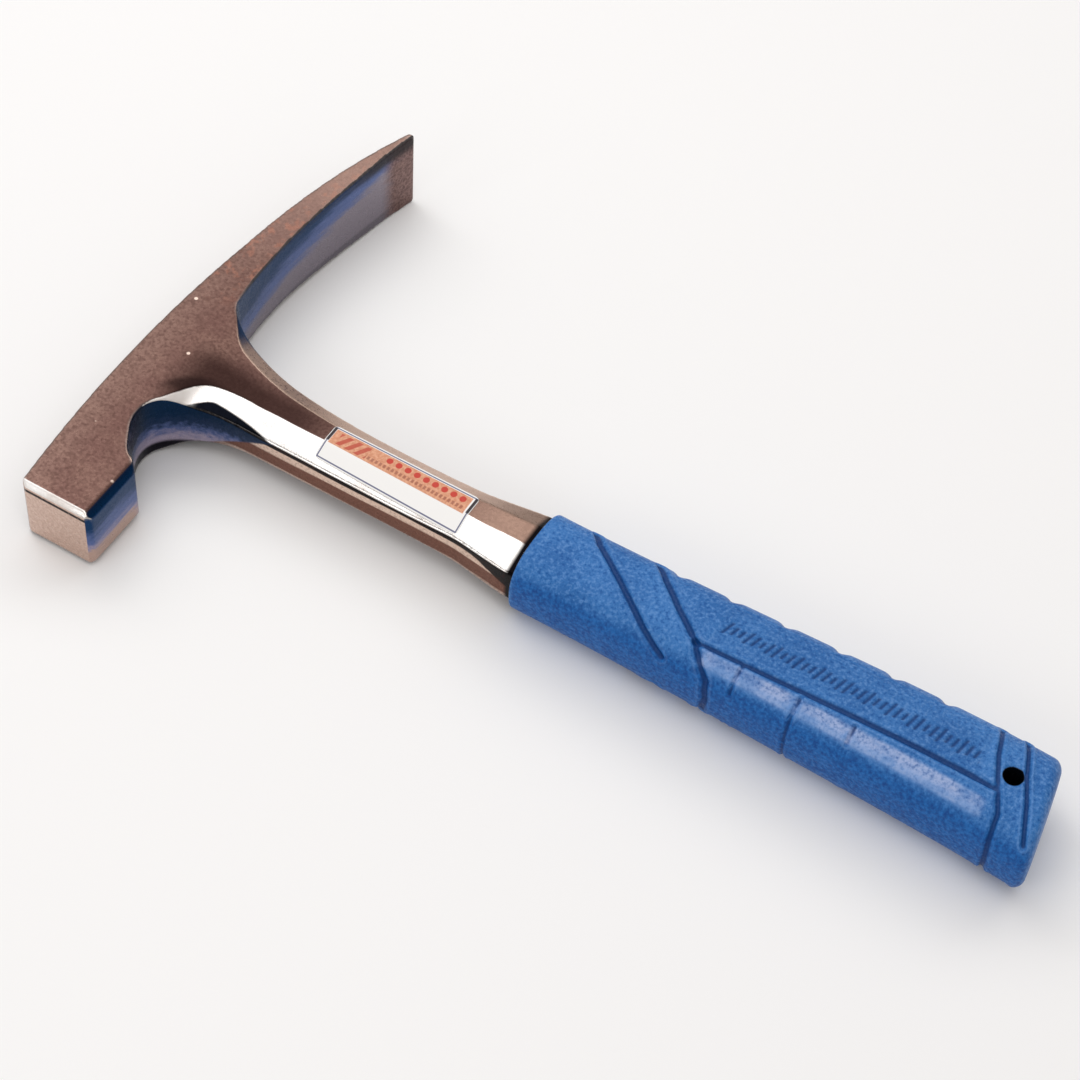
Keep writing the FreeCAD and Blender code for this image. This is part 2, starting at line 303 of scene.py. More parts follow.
def offset_at(x):
    """Shift of the section towards the poll side, none before the palm."""
    return np.interp(x, [230, 246, 262, 271, 280.6], [0, 0.12, 0.42, 0.84, 1.4])


def lean_at(x):
    """Lean of the section, none before the palm."""
    return np.interp(x, [215, 238, 262, 280.6], [0, 0.04, 0.102, 0.17])


# %% [markdown]
# A row is a place along X, a half width, a half thickness and a kind of section. The rows start at the
# middle of the butt, turn over its rounded rim, run up the outside, turn over the lip at the mouth, and go
# back down inside: first the socket that takes the shank, then the pocket that takes the tang.

# %% Rows from the butt's middle to the tang's end
OUTER_ROWS, COLUMNS, TURN_ROWS = 400, 208, 9
CROWN = 0.25          # how far the butt's middle stands out
W_SOCKET, H_SOCKET = 12.25, 9.35
W_POCKET, H_POCKET = 7.6, 4.1
OVAL, SOCKET, POCKET = 0, 1, 2
turn = np.linspace(0, math.pi / 2, TURN_ROWS)
x_outer = np.linspace(BUTT_X - BUTT_ROUND, MOUTH_X + LIP, OUTER_ROWS)
x_socket_end = MOUTH_X + SOCKET_DEPTH
w_end, h_end = at(width_curve, x_outer[0]), at(thickness_curve, x_outer[0])
w_lip, h_lip = at(width_curve, x_outer[-1]), at(thickness_curve, x_outer[-1])
rows = [[BUTT_X - CROWN * t ** 4, t * (w_end - BUTT_ROUND), t * (h_end - BUTT_ROUND), OVAL]
        for t in np.linspace(0.12, 1, TURN_ROWS)]
for a in turn[1:-1]:
    inset = BUTT_ROUND * (1 - math.sin(a))
    back = CROWN + (BUTT_ROUND - CROWN) * (1 - math.cos(a))
    rows.append([BUTT_X - back, w_end - inset, h_end - inset, OVAL])
rows += [[x, at(width_curve, x), at(thickness_curve, x), OVAL] for x in x_outer]
for a in turn[1:]:
    inset = LIP * (1 - math.cos(a))
    rows.append([MOUTH_X + LIP * (1 - math.sin(a)), w_lip - inset, h_lip - inset, OVAL])
rows += [[MOUTH_X + deep, W_SOCKET, H_SOCKET, SOCKET] for deep in (0, 0.4, 2.5, 5, SOCKET_DEPTH)]
rows += [[x, W_POCKET, H_POCKET, POCKET] for x in (x_socket_end, x_socket_end + 1, 190, TANG_END_X)]
rows.append([TANG_END_X, 0.3 * W_POCKET, 0.3 * H_POCKET, POCKET])
rows = np.array(rows)
print("rows on the grip:", len(rows), "columns:", COLUMNS)

# %% [markdown]
# A section is drawn in its own unit square: a squarish oval, an eight-sided socket or a plain
# rectangle. Each is a reach k along the direction (cos, sin), and the point is (w k cos, h k sin).

# %% Section shapes
angle = np.linspace(0, 2 * math.pi, COLUMNS, endpoint=False)[None, :]
cosine, sine = np.cos(angle), np.sin(angle)
x_row, w_row, h_row, kind = [rows[:, i:i + 1] for i in range(4)]
# the socket's bevels take this much off its height, and this much off its breadth on either side
BEVEL_Z = 3.0
BEVEL_Y = np.where(cosine < 0, 9.15, 6.85)
small = 1e-9
reach_oval = (np.abs(cosine) ** SQUARENESS + np.abs(sine) ** SQUARENESS) ** (-1 / SQUARENESS)
reach_box = np.minimum(1 / (np.abs(cosine) + small), 1 / (np.abs(sine) + small))
reach_bevel = (BEVEL_Z * w_row + BEVEL_Y * (h_row - BEVEL_Z)) / (
    BEVEL_Z * w_row * np.abs(cosine) + BEVEL_Y * h_row * np.abs(sine))
reach_inside = np.where(kind == SOCKET, np.minimum(reach_box, reach_bevel), reach_box)
reach = np.where(kind == OVAL, reach_oval, reach_inside)
across = w_row * reach * cosine
height = h_row * reach * sine

# %% [markdown]
# The carving is a height in millimetres over the sheet. The underside mirrors the top, so the angle is
# folded: 0 degrees on the blade side, 90 on the upper face, 180 on the poll side. A groove is a bell
# curve of the distance to its line, with a fine lip thrown up on both sides.

# %% Carving helpers
folded = np.degrees(np.where(angle > math.pi, 2 * math.pi - angle, angle)) + 0 * x_row
MM_PER_DEGREE = 0.27  # length on the skin of one degree round it, on average
sheet_x, sheet_s = x_row + 0 * folded, folded * MM_PER_DEGREE


def line_distance(points):
    """Least distance from every grid point to the line through these (x, degrees) points."""
    best = np.full(sheet_x.shape, 99.0)
    for (xa, da), (xb, db) in zip(points[:-1], points[1:]):
        a = np.array([xa, da * MM_PER_DEGREE])
        d = np.array([xb, db * MM_PER_DEGREE]) - a
        t = ((sheet_x - a[0]) * d[0] + (sheet_s - a[1]) * d[1]) / (d @ d)
        t = np.clip(t, 0, 1)
        best = np.minimum(best, np.hypot(sheet_x - a[0] - t * d[0], sheet_s - a[1] - t * d[1]))
    return best


def groove(points, depth, half_width, lip=0.25):
    """Bell-shaped cut along a line, and a lip of a fraction of its depth on either side."""
    d = line_distance(points) / half_width
    return -depth * np.exp(-d ** 2) + lip * depth * np.exp(-((d - 1.9) / 0.75) ** 2)


def band(value, lo, hi, soft):
    """1 between lo and hi, fading to 0 over the soft width outside them."""
    return smoothstep(value, lo - soft, lo) * (1 - smoothstep(value, hi, hi + soft))


# %% [markdown]
# Every groove is a line of (place along X, folded degrees) points with a depth and a half width in
# millimetres. The far edge has six notches for the fingers, and a low ridge borders the smooth pads.

# %% Carve grooves, panel, notches and collar
NOTCH_FIRST, NOTCH_PITCH, NOTCHES, NOTCH_DEEP, NOTCH_HALF = 165.5, 16.4, 6, 0.95, 1.7
RIDGE_HIGH, RIDGE_AT, RIDGE_SPREAD = 0.35, 134, 7
PANEL_DEEP = 0.18
slash_one = [(139.5, 46), (142.5, 62), (157, 105), (166, 130), (174, 150)]
slash_two = [(159.5, 46), (164, 66), (172, 93), (180.5, 117), (188, 150), (189, 180)]
panel_line = [(180.5, 117.5), (213, 113), (247, 109), (268.6, 107.5)]
collar_one = [(264.6, 40), (266.5, 75), (269, 100), (272, 125), (272.4, 180)]
collar_two = [(272.6, 40), (275.5, 80), (278, 105), (280.6, 138)]
carve = groove(slash_one, 1.0, 0.95) + groove(slash_two, 1.0, 0.95)
carve += groove(panel_line, 0.85, 0.7, 0.35)
carve += groove(collar_one, 0.8, 0.75) + groove(collar_two, 0.85, 0.7, 0.4)
for x_cut, low_end in ((195.5, 150), (213.5, 178), (229.8, 136)):
    carve += groove([(x_cut, 119), (x_cut, low_end)], 0.6, 0.6, 0.3)
for k in range(NOTCHES):
    x_notch = NOTCH_FIRST + k * NOTCH_PITCH
    bell = np.exp(-((sheet_x - x_notch) / NOTCH_HALF) ** 2)
    carve -= NOTCH_DEEP * bell * (1 - smoothstep(folded, 34, 54))
# a raised ridge under the panel line, where the upper face turns into the side
carve += RIDGE_HIGH * band(sheet_x, 186, 266, 4) * np.exp(-((folded - RIDGE_AT) / RIDGE_SPREAD) ** 2)
pads = band(sheet_x, 186, 266, 3) * band(folded, 121, 135, 2.5)
# shallow recess of the panel
carve -= PANEL_DEEP * band(sheet_x, 184, 263.5, 1.0) * band(folded, 56, 109, 3)

# %% [markdown]
# Moulded marks run along the panel on such grips. Lettering is left out here: a plain row of slanted bars
# gives the same rough feel under the palm. Their lengths rise and fall along the row, so that it looks
# hand cut. A finer knurled row runs along the far edge.

# %% Moulded ornament on the panel
BAR_FIRST, BAR_LAST, BAR_MIDDLE = 185.0, 262.5, 86
BAR_PITCH, BAR_LEAN, BAR_HALF, BAR_DEEP = 2.15, 0.28, 0.46, 0.40
KNURL_PITCH, KNURL_HIGH = 2.1, 0.16
bar_count = np.floor((sheet_x - BAR_FIRST) / BAR_PITCH)
bar_x = (sheet_x - BAR_FIRST) - (bar_count + 0.5) * BAR_PITCH
bar_s = (folded - BAR_MIDDLE) * MM_PER_DEGREE
bar_reach = 1.6 + 0.6 * np.cos(1.9 * bar_count)
marks = np.exp(-((bar_x + BAR_LEAN * bar_s) / BAR_HALF) ** 2) * band(bar_s, -bar_reach, bar_reach, 0.45)
marks *= band(sheet_x, BAR_FIRST, BAR_LAST, 0.3)
carve -= BAR_DEEP * marks
knurl = 0.5 + 0.5 * np.cos(2 * math.pi * sheet_x / KNURL_PITCH)
carve += KNURL_HIGH * knurl * band(sheet_x, 192, 260, 2) * band(folded, 58, 63, 2)

# %% [markdown]
# The carving moves each point along the section's own outward direction, the slope of the oval's formula.
# Towards the butt the section shifts and leans a little, and the skin drops at the rim of the hang hole.

# %% Put the grip together
RIM_DROP, RIM_SPREAD = 0.55, 0.55
outside = (kind == OVAL) * band(x_row, MOUTH_X + 2, BUTT_X - 1.5, 1.5)
hole_x = (hole_centre[0] - ZERO[0]) / MM
HOLE_RADIUS = mounts["hang_hole"]["dims"]["r_mm"]
carve = carve * outside
facing_y = np.abs(cosine * reach) ** (SQUARENESS - 1) * np.sign(cosine) / w_row.clip(0.1)
facing_z = np.abs(sine * reach) ** (SQUARENESS - 1) * np.sign(sine) / h_row.clip(0.1)
length = np.hypot(facing_y, facing_z).clip(1e-9)
across_c = across + carve * facing_y / length - offset_at(x_row) * (kind == OVAL)
height_c = height + carve * facing_z / length
along = x_row - lean_at(x_row) * across_c * (kind == OVAL)
rim = np.hypot(along - hole_x, across_c)
rim_drop = RIM_DROP * np.exp(-((rim - HOLE_RADIUS).clip(0) / RIM_SPREAD) ** 2) * outside
height_c = height_c - rim_drop * np.sign(sine)
grid = np.stack([along, across_c, height_c], -1)
butt_shift = offset_at(BUTT_X)
poles = np.array([[BUTT_X + lean_at(BUTT_X) * butt_shift, -butt_shift, 0.0], [TANG_END_X, 0.0, 0.0]])
points = to_frame(np.concatenate([grid.reshape(-1, 3), poles]))
grip = mesh_from("vinyl_grip", points, tube_faces(len(rows), COLUMNS))
store(grip, "carve", np.concatenate([carve.ravel(), [0, 0]]))
store(grip, "pads", np.concatenate([(pads * outside).ravel(), [0, 0]]))
# how far a point lies on the grip's sides, where the vinyl gets a painted shade
store(grip, "side", np.concatenate([(smoothstep(folded, 132, 150) * outside).ravel(), [0, 0]]))
print("grip:", len(grip.data.vertices), "points, box mm:",
      ((points.max(0) - points.min(0)) / MM).round(2))

# %% [markdown]
# The hang hole goes right through the butt. A hole changes how a sheet is connected, which one
# function of two parameters can't give, so a plain cylinder is cut from the finished skin.

# %% Cut the hang hole


def cut_through(piece, centre, radius, depth):
    """Boolean difference with an upright cylinder, applied at once."""
    bm = bmesh.new()
    bmesh.ops.create_cone(bm, segments=72, radius1=radius, radius2=radius, depth=depth, cap_ends=True)
    bmesh.ops.translate(bm, verts=bm.verts, vec=centre)
    drill_mesh = bpy.data.meshes.new("drill")
    bm.to_mesh(drill_mesh)
    bm.free()
    drill = bpy.data.objects.new("drill", drill_mesh)
    bpy.context.scene.collection.objects.link(drill)
    cut = piece.modifiers.new("hole", "BOOLEAN")
    cut.operation = "DIFFERENCE"
    cut.solver = "EXACT"
    cut.object = drill
    work_in_modifiers(piece)
    bpy.data.objects.remove(drill)


cut_through(grip, hole_centre, HOLE_RADIUS * MM, 60 * MM)
print("after the hole:", len(grip.data.vertices), "points")

# %% [markdown]
# ## The label
# A film label is stuck over the shank's upper flat and folds down over one bevel. It is a thin closed
# sheet: a grid of length by breadth whose breadth follows the steel, a copy of it just under the steel's
# skin, and a wall round both. Its length and breadth come from the design's own label.

# %% Label sheet
label_low, label_high = (np.array(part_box("shank_label")) - ZERO) / MM
LABEL_X = (float(label_low[0]), float(label_high[0]))
LABEL_Y = (float(label_high[1]), float(label_low[1]))
LABEL_SLANT, LABEL_THICK, SUNK, CORNER = 0.03, 0.2, 0.12, 1.3
TOP_Z, FOLD_Y, SLOPE, FOLD_SOFT = 8.1, -1.8, 3.0 / 7.4, 0.5
ALONG_CELLS, BREADTH_CELLS = 160, 48


def steel_height(y):
    """Height of the steel under the label: the flat, then down the bevel, with a soft fold between."""
    drop = (FOLD_Y - y) * SLOPE
    return TOP_Z - 0.5 * (drop + np.sqrt(drop ** 2 + FOLD_SOFT ** 2 * 0.2))


u = np.linspace(0, 1, ALONG_CELLS + 1)[:, None]
v = np.linspace(0, 1, BREADTH_CELLS + 1)[None, :]
y_label = LABEL_Y[0] + v * (LABEL_Y[1] - LABEL_Y[0]) + 0 * u
near_edge = np.minimum(y_label - LABEL_Y[1], LABEL_Y[0] - y_label)
shrink = CORNER - np.sqrt(CORNER ** 2 - (CORNER - near_edge.clip(0, CORNER)) ** 2)
x_mid, half_len = sum(LABEL_X) / 2, (LABEL_X[1] - LABEL_X[0]) / 2
x_label = x_mid + (2 * u - 1) * (half_len - shrink)
print_t = LABEL_Y[0] - y_label
y_label = y_label - LABEL_SLANT * (x_label - x_mid) * v
top = np.stack([x_label, y_label, steel_height(y_label) + LABEL_THICK], -1)
low = top.copy()
low[..., 2] -= LABEL_THICK + SUNK

# %% [markdown]
# The sheet's faces: the grid above, the same grid below turned over, and a strip between their rims. The
# print needs flat coordinates, so each point keeps its own distance along and across the label.

# %% Close the sheet and lay out its print
cols = BREADTH_CELLS + 1
i = (np.arange(ALONG_CELLS)[:, None] * cols + np.arange(BREADTH_CELLS)[None, :]).ravel()
top_faces = np.stack([i, i + 1, i + cols + 1, i + cols], -1)
count = top.reshape(-1, 3).shape[0]
low_faces = top_faces[:, ::-1] + count
last_row = ALONG_CELLS * cols
ring = np.concatenate([np.arange(cols - 1), np.arange(ALONG_CELLS) * cols + cols - 1,
                       last_row + np.arange(cols - 1, 0, -1), np.arange(ALONG_CELLS, 0, -1) * cols])
nxt = np.roll(ring, -1)
wall_faces = np.stack([ring, ring + count, nxt + count, nxt], -1)
label_points = to_frame(np.concatenate([top.reshape(-1, 3), low.reshape(-1, 3)]))
label = mesh_from("shank_sticker", label_points, list(top_faces) + list(low_faces) + list(wall_faces))
flat_uv = np.stack([x_label - LABEL_X[0], print_t], -1).reshape(-1, 2)
flat_uv = np.concatenate([flat_uv, flat_uv])
loops = np.zeros(len(label.data.loops), np.int32)
label.data.loops.foreach_get("vertex_index", loops)
uv_layer = label.data.uv_layers.new(name="print_mm")
uv_layer.data.foreach_set("uv", flat_uv[loops].ravel())
print("label:", len(label.data.polygons), "faces, along", np.round(LABEL_X, 2),
      "across", np.round(LABEL_Y, 2))

# %% [markdown]
# Each new piece takes the place of one solid of the design and rides on the same body, so nothing floats.

# %% Join the new pieces to the frame
for piece, node, slot in ((forging, "forged_hammer", "forged_steel"), (grip, "handle_grip", "grip_vinyl"),
                          (label, "shank_label", "label_paper")):
    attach(piece, "root")
    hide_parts(node)

# %% [markdown]
# ## Finishes
# A finish is a small graph of nodes. Nodes could be placed and joined by hand in the shader editor. A helper
# that writes one node per call keeps each finish readable as a list of layers: a number given to it goes on
# the socket, and a socket given to it is linked.

# %% Make and join nodes


class Graph:
    """A material being built, one node per call."""

    def __init__(self, name):
        self.material = bpy.data.materials.new(name)
        self.material.use_nodes = True
        self.tree = self.material.node_tree
        self.shader = next(n for n in self.tree.nodes if n.type == "BSDF_PRINCIPLED")

    def node(self, kind, inputs=(), **settings):
        """A new node with these settings and inputs."""
        made = self.tree.nodes.new(kind)
        for key, value in settings.items():
            setattr(made, key, value)
        for key, value in dict(inputs).items():
            self.join(made.inputs[key], value)
        return made

    def join(self, socket, value):
        """Link a socket, or put a number or colour on it."""
        if isinstance(value, bpy.types.NodeSocket):
            self.tree.links.new(value, socket)
        else:
            socket.default_value = value

    def set(self, name, value):
        """Give the shader one of its inputs."""
        self.join(self.shader.inputs[name], value)


# %% [markdown]
# Most layers are masks, and most masks are smooth steps of a place or a direction, multiplied together.

# %% Sums and steps


class Sums(Graph):
    """Arithmetic between sockets and numbers."""

    def math(self, operation, *values):
        made = self.node("ShaderNodeMath", operation=operation)
        for socket, value in zip(made.inputs, values):
            self.join(socket, value)
        return made.outputs[0]

    def plus(self, a, b):
        return self.math("ADD", a, b)

    def minus(self, a, b):
        return self.math("SUBTRACT", a, b)

    def product(self, *parts):
        """All the parts multiplied together."""
        total = parts[0]
        for part in parts[1:]:
            total = self.math("MULTIPLY", total, part)
        return total

    def phase(self, value, pitch):
        """How far a value is through its pitch, from 0 to 1."""
        return self.math("FRACT", self.math("DIVIDE", value, pitch))

    def step(self, value, lo, hi, out_lo=0.0, out_hi=1.0):
        """Smooth step of a value from lo to hi, mapped to the two outputs."""
        made = self.node("ShaderNodeMapRange", interpolation_type="SMOOTHSTEP")
        for key, number in (("From Min", lo), ("From Max", hi), ("To Min", out_lo), ("To Max", out_hi)):
            made.inputs[key].default_value = number
        self.join(made.inputs["Value"], value)
        return made.outputs["Result"]

    def between(self, value, lo, hi, soft=0.12):
        """1 between lo and hi, 0 outside them, with a rim of twice the soft width."""
        return self.product(self.step(value, lo - soft, lo + soft), self.step(value, hi + soft, hi - soft))


# %% [markdown]
# The rest are sources: places in the drawing's own millimetres, stored numbers, noise, mixes and bumps.

# %% Places, noise, mixes and bumps


class Finish(Sums):
    """A finish, with the sources that the layers below are made from."""

    def millimetres(self):
        """The drawing's coordinates, from the piece's own metres."""
        metres = self.node("ShaderNodeTexCoord").outputs["Object"]
        return self.node("ShaderNodeMapping", {"Vector": metres, "Location": (-ZERO * 1000).tolist(),
                                               "Scale": (1000, 1000, 1000)}).outputs[0]

    def stretched(self, where, x, y, z):
        """The same coordinates stretched by three factors, for streaks."""
        return self.node("ShaderNodeMapping", {"Vector": where, "Scale": (x, y, z)}).outputs[0]

    def parts(self, vector):
        """The three parts of a vector."""
        return tuple(self.node("ShaderNodeSeparateXYZ", {0: vector}).outputs)

    def from_axis(self, where, x, y):
        """Distance from the upright line through (x, y)."""
        flat = self.stretched(where, 1, 1, 0)
        made = self.node("ShaderNodeVectorMath", {0: flat, 1: (x, y, 0)}, operation="DISTANCE")
        return made.outputs["Value"]

    def stored(self, name):
        """A number kept per point on the mesh."""
        return self.node("ShaderNodeAttribute", attribute_name=name).outputs["Fac"]

    def noise(self, where, scale, detail=2.0, roughness=0.5):
        return self.node("ShaderNodeTexNoise", {"Vector": where, "Scale": scale, "Detail": detail,
                                                "Roughness": roughness}).outputs["Fac"]

    def mix(self, amount, a, b):
        made = self.node("ShaderNodeMix", data_type="RGBA")
        for socket, value in ((0, amount), (6, a), (7, b)):
            self.join(made.inputs[socket], value)
        return made.outputs[2]

    def bump(self, height, distance, strength, after=None):
        made = self.node("ShaderNodeBump", {"Height": height, "Distance": distance, "Strength": strength})
        if after is not None:
            self.join(made.inputs["Normal"], after)
        return made.outputs[0]


# %% [markdown]
# Nodes expect linear colours. People name colours by the 0 to 255 values of a screen, so these are turned
# linear: a short straight line near black, and a power of 2.4 above it.

# %% Colours


def colour(red, green, blue):
    """Linear colour from three screen values."""
    c = np.array([red, green, blue]) / 255
    linear = np.where(c <= 0.04045, c / 12.92, ((c + 0.055) / 1.055) ** 2.4)
    return (*map(float, linear), 1.0)


# %% [markdown]
# ## The steel
# One bar of steel shows several finishes: ground and lacquered cheeks, a bare striking face, polished bevels,
# and blue-black on the side that looks down the handle, partly forge skin and partly painted reflection. Much
# of what the steel would mirror is painted into its colour as well: painted reflections, highlights and
# shade.
# They could be separate materials on separate faces. One material that chooses by place and by direction lets
# them fade into each other as they do on the tool.

# %% Places and directions on the steel
steel = Finish("forged_steel")
drawing = steel.millimetres()
px, py, pz = steel.parts(drawing)
nx, ny, nz = steel.parts(steel.node("ShaderNodeNewGeometry").outputs["Normal"])
stand = steel.stored("stand_out")
mottle = steel.noise(drawing, 1.1, 4, 0.6)
cloud = steel.noise(drawing, 0.09, 3, 0.55)

# %% [markdown]
# The ground cheeks get a warm tone under their lacquer, a painted reflection of a warm room, and are lighter
# towards the back of the head, a painted reflection of a light behind it, and along the blade. A fine mottle
# darkens and lightens them, and where the flat runs down from cheek to shank a dark painted reflection lies
# in its valley.

# %% Ground cheeks
tan = steel.mix(steel.step(cloud, 0.3, 0.7), colour(109, 83, 75), colour(99, 73, 67))
# painted reflection of a light behind: lighter towards the back of the head
tan = steel.mix(steel.step(px, 8, -6, 0, 0.5), tan, colour(125, 101, 92))
tan = steel.mix(steel.step(mottle, 0.42, 0.7, 0, 0.6), tan, colour(78, 55, 50))
tan = steel.mix(steel.step(mottle, 0.42, 0.25, 0, 0.35), tan, colour(131, 106, 97))
blade_cheek = steel.product(steel.step(py, 30, 70), steel.step(nz, 0.7, 0.9), 0.6)
tan = steel.mix(blade_cheek, tan, colour(127, 102, 94))
# painted reflection: the dark valley where the flat runs down from cheek to shank
valley_reflection = steel.product(steel.step(nz, 0.9, 0.97), steel.step(px, 4, 17), steel.step(px, 66, 44),
                       steel.step(py, 10, 2), steel.step(py, -22, -12))
tan = steel.mix(steel.product(valley_reflection, 0.92), tan, colour(50, 33, 30))

# %% [markdown]
# Work leaves small dings, bright in their middle. The shank's far bevel and the flat near the grip get a
# painted highlight, lighter than the rest, and a dark rim follows the round hollow beside the poll.

# %% Dings, painted highlights and the hollow's rim
HOLLOW_CENTRE = (24.0, -19.5)
ding = steel.node("ShaderNodeTexVoronoi", {"Vector": drawing, "Scale": 0.075, "Randomness": 1.0})
tan = steel.mix(steel.step(ding.outputs["Distance"], 0.055, 0.03, 0, 0.8), tan, colour(226, 204, 190))
# painted highlights on the far bevel's rib and on the flat near the grip
rib_highlight = steel.product(steel.step(nz, 0.3, 0.6), steel.step(ny, 0.12, 0.26), steel.step(px, 10, 22))
tan = steel.mix(steel.product(rib_highlight, 0.85), tan, colour(226, 196, 178))
near_grip_highlight = steel.product(steel.step(nz, 0.8, 0.95), steel.step(px, 92, 116))
tan = steel.mix(steel.product(near_grip_highlight, 0.8), tan, colour(150, 122, 108))
from_hollow = steel.from_axis(drawing, *HOLLOW_CENTRE)
hollow_rim = steel.product(steel.step(nz, 0.8, 0.95), steel.step(from_hollow, 19.0, 16.2),
                           steel.step(py, -15, -9), steel.step(px, 26, 16))
tan = steel.mix(steel.product(hollow_rim, 0.75), tan, colour(30, 19, 18))

# %% [markdown]
# The striking face is ground bare after forging, so it is the palest steel, with a thin dark line where the
# grinding stops under the upper bevel.

# %% Striking face
bare = steel.mix(steel.step(mottle, 0.35, 0.65), colour(212, 186, 172), colour(196, 168, 154))
face = steel.product(steel.step(ny, -0.7, -0.9), steel.step(py, -55, -60))
tan = steel.mix(face, tan, bare)
face_line = steel.product(face, steel.between(pz, 8.2, 9.3, 0.2), steel.step(mottle, 0.2, 0.45, 0.5, 1.0))
tan = steel.mix(face_line, tan, colour(26, 18, 18))

# %% [markdown]
# The shank's wall on the poll side is painted in bands of reflection: a dark line above, a bright strip, a
# brown strip below. A slow noise along the shank makes the borders wander, and the dark line widens into a
# painted shadow towards the grip's mouth.

# %% Painted reflections on the shank's wall
wall = steel.product(steel.step(ny, -0.75, -0.9), steel.step(px, 20, 34))
wander = steel.noise(steel.stretched(drawing, 0.03, 1, 1), 1.0, 1)
wave = steel.plus(pz, steel.product(steel.minus(wander, 0.5), 1.4))
# painted reflections in bands on the shank's wall
wall_reflections = steel.mix(steel.step(wave, -4.6, -4.0), colour(206, 180, 166), colour(124, 84, 70))
wall_reflections = steel.mix(steel.step(wave, 0.3, 1.1), wall_reflections, colour(234, 206, 188))
# painted shadow: the dark line widens by the grip's mouth
mouth_shadow = steel.step(px, 111, 124, 3.1, -0.5)
wall_reflections = steel.mix(steel.step(steel.minus(wave, mouth_shadow), -0.2, 0.4), wall_reflections, colour(14, 11, 13))
wall_reflections = steel.mix(steel.step(mottle, 0.45, 0.68, 0, 0.3), wall_reflections, colour(84, 50, 40))
tan = steel.mix(wall, tan, wall_reflections)

# %% [markdown]
# A painted shade, a dark reflection, lies on the lower part of the wide bevel by the neck. The border of that
# shade is a parabola along the shank: it starts at -6.9 and falls away by the square of the distance from its
# top.

# %% Painted shade of the neck
SHADE_TOP, SHADE_BEND = 29, 0.105
bend = steel.product(steel.minus(px, SHADE_TOP), SHADE_BEND)
shade_edge = steel.minus(-6.9, steel.product(bend, bend))
shade_edge = steel.plus(shade_edge, steel.step(px, 24, 12, 0, -7.0))
neck_shade = steel.product(steel.step(steel.minus(shade_edge, py), -0.3, 0.4), steel.step(ny, -0.1, -0.2),
                           steel.step(py, -20, -16), steel.step(px, 13, 20), steel.step(px, 52, 46),
                           steel.step(nz, 0.02, 0.2))

# %% [markdown]
# The handle side of head and blade is blue-black, partly its forge skin and partly a painted reflection, as
# is the neck's wall in the hollow. Its border wanders with streaks that run along the blade.

# %% Where the forge skin and its painted reflection lie
head_wall = steel.product(steel.step(nx, 0.2, 0.45), steel.step(px, 36, 26))
neck_wall = steel.product(steel.step(ny, -0.3, -0.6), steel.step(px, 9, 11),
                          steel.step(steel.plus(px, steel.product(pz, -1.9)), 36.2, 34.4),
                          steel.step(py, -27, -25))
# blue-black walls: partly forge skin, partly painted reflection
inside = steel.product(steel.math("MAXIMUM", head_wall, neck_wall), steel.step(nz, 0.88, 0.7))
past_neck = steel.math("MAXIMUM", steel.minus(py, 32), 0)
border = steel.plus(-5.0, steel.product(past_neck, 0.2))
border = steel.plus(border, steel.product(steel.step(py, 0, -6), steel.step(py, -40, -22), 1.9))
border = steel.plus(border, steel.step(py, -36, -46, 0, 2.4))
streak = steel.noise(steel.stretched(drawing, 0.6, 0.07, 0.6), 1.0, 3, 0.6)
level = steel.plus(steel.minus(pz, border), steel.product(steel.minus(streak, 0.5), 7))

# %% [markdown]
# From the border up, the skin goes from pale grey, a painted reflection of the floor, through blue to a deep
# blue-black. Painted shade makes it darkest in the neck and under it. It is darker towards its upper and
# lower edges, and the blade's end is worn brown, with its upper corner near black.

# %% Colours of the forge skin, with painted reflection and shade
# painted reflection of the floor along the wall's lower edge
floor_reflection = steel.mix(steel.step(py, 0, 24), colour(176, 164, 184), colour(134, 126, 136))
poll_floor_reflection = steel.product(steel.step(py, -38, -44), steel.step(level, -0.5, -2.5))
floor_reflection = steel.mix(poll_floor_reflection, floor_reflection, colour(186, 158, 146))
blue = steel.mix(steel.step(level, -3.5, 2.0), floor_reflection, colour(88, 104, 150))
blue = steel.mix(steel.step(level, 2.0, 8.5), blue, colour(14, 52, 92))
# painted shade in the neck
neck_deep_shade = steel.product(steel.step(level, 0.5, 4.5), steel.step(py, 2, -4), steel.step(py, -40, -32), 0.8)
blue = steel.mix(neck_deep_shade, blue, colour(4, 34, 60))
# painted shade under the neck
under = steel.product(steel.step(pz, -6.6, -8.2), steel.step(py, -4, -8), steel.step(py, -42, -30))
blue = steel.mix(under, blue, colour(24, 20, 30))
blue = steel.mix(steel.step(steel.math("ABSOLUTE", pz), 9.2, 10.8, 0, 0.35), blue, colour(20, 22, 40))
tip = steel.step(steel.plus(py, steel.product(streak, 4)), 96, 103)
worn = steel.mix(steel.step(mottle, 0.35, 0.65), colour(128, 98, 90), colour(92, 64, 58))
blue = steel.mix(steel.product(tip, 0.9), blue, worn)
tip_dark = steel.product(steel.step(py, 76, 94), steel.step(pz, 7.5, 11.5), 0.9)
blue = steel.mix(tip_dark, blue, colour(24, 17, 21))

# %% [markdown]
# A little rust blooms along the blade, and its cheek turns paler towards the edge. The blade's inner arris
# is darkened to a thin dark line.

